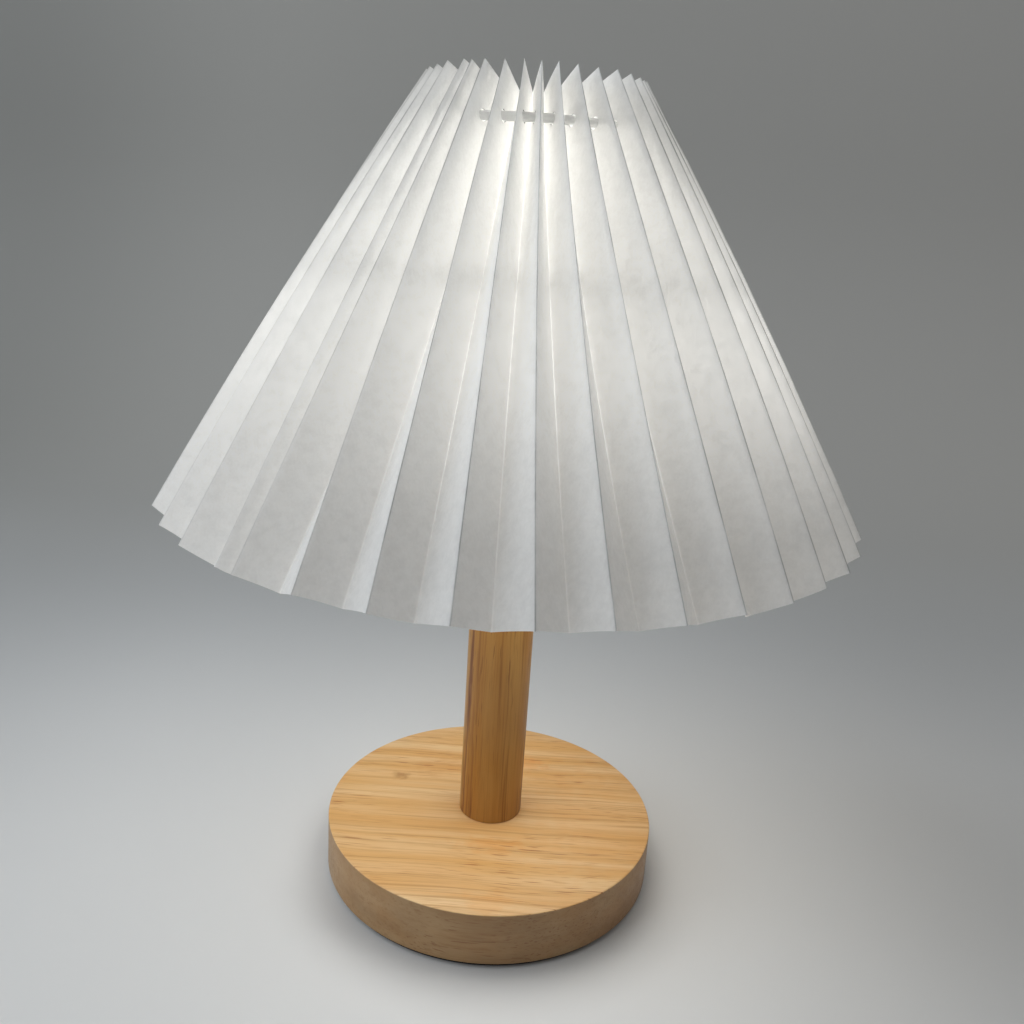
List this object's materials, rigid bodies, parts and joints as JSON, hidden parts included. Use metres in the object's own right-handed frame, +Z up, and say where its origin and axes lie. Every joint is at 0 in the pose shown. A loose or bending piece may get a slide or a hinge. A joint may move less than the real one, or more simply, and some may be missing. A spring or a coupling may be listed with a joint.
{
  "type": "pleated table lamp",
  "caption": "Table lamp with a round wooden base and post, a lampholder with bulb, and a pleated paper shade on a wire frame.",
  "frame": {"origin": "on the table, under the middle of the base", "axes": "+Z up along the post, -Y to the front of the lamp, cord outlet at +Y"},
  "size_m": [0.2298, 0.2294, 0.2742],
  "materials": {
    "black_foam": "matt",
    "base_wood": "satin clear lacquer",
    "black_plastic": "matt",
    "post_wood": "satin clear lacquer",
    "zinced_steel": "satin",
    "holder_plastic": "semi-gloss",
    "block_ceramic": "matt",
    "nickel_plate": "bright",
    "contact_brass": "bright",
    "frame_paint": "semi-gloss",
    "shade_paper": "matt, lit from inside",
    "ring_plastic": "semi-gloss",
    "opal_globe": "satin, lit from inside",
    "collar_plastic": "satin",
    "board_aluminium": "satin",
    "board_laminate": "satin"
  },
  "bodies": {
    "stand": {"base_pad": "black_foam", "base_disc": "base_wood", "cord_bush": "black_plastic", "post": "post_wood", "threaded_tube": "zinced_steel", "tube_nut": "zinced_steel", "tube_washer": "zinced_steel", "holder_cap": "holder_plastic", "lock_screw": "zinced_steel", "holder_shell": "holder_plastic", "contact_block": "block_ceramic", "screw_shell": "nickel_plate", "centre_contact": "contact_brass", "terminals": "contact_brass", "terminal_screws": "zinced_steel"},
    "clamp_ring": {"shade_ring": "holder_plastic"},
    "shade": {"shade_hub": "frame_paint", "shade_spokes": "frame_paint", "support_ring": "frame_paint", "pleated_shade": "shade_paper", "gather_ring": "ring_plastic"},
    "bulb": {"bulb_globe": "opal_globe", "bulb_collar": "collar_plastic", "bulb_cap": "nickel_plate", "bulb_insulator": "black_plastic", "bulb_tip": "nickel_plate", "led_board": "board_aluminium", "driver_board": "board_laminate"}
  },
  "joints": [
    {"name": "shade_turn", "type": "hinge", "parent": "stand", "child": "shade", "pos_m": [0, 0, 0.184], "axis": [0, 0, 1], "continuous": true},
    {"name": "ring_unscrew", "type": "slide", "parent": "stand", "child": "clamp_ring", "axis": [0, 0, 1], "range_m": [0, 0.01]},
    {"name": "bulb_unscrew", "type": "slide", "parent": "stand", "child": "bulb", "axis": [0, 0, 1], "range_m": [0, 0.018]}
  ]
}
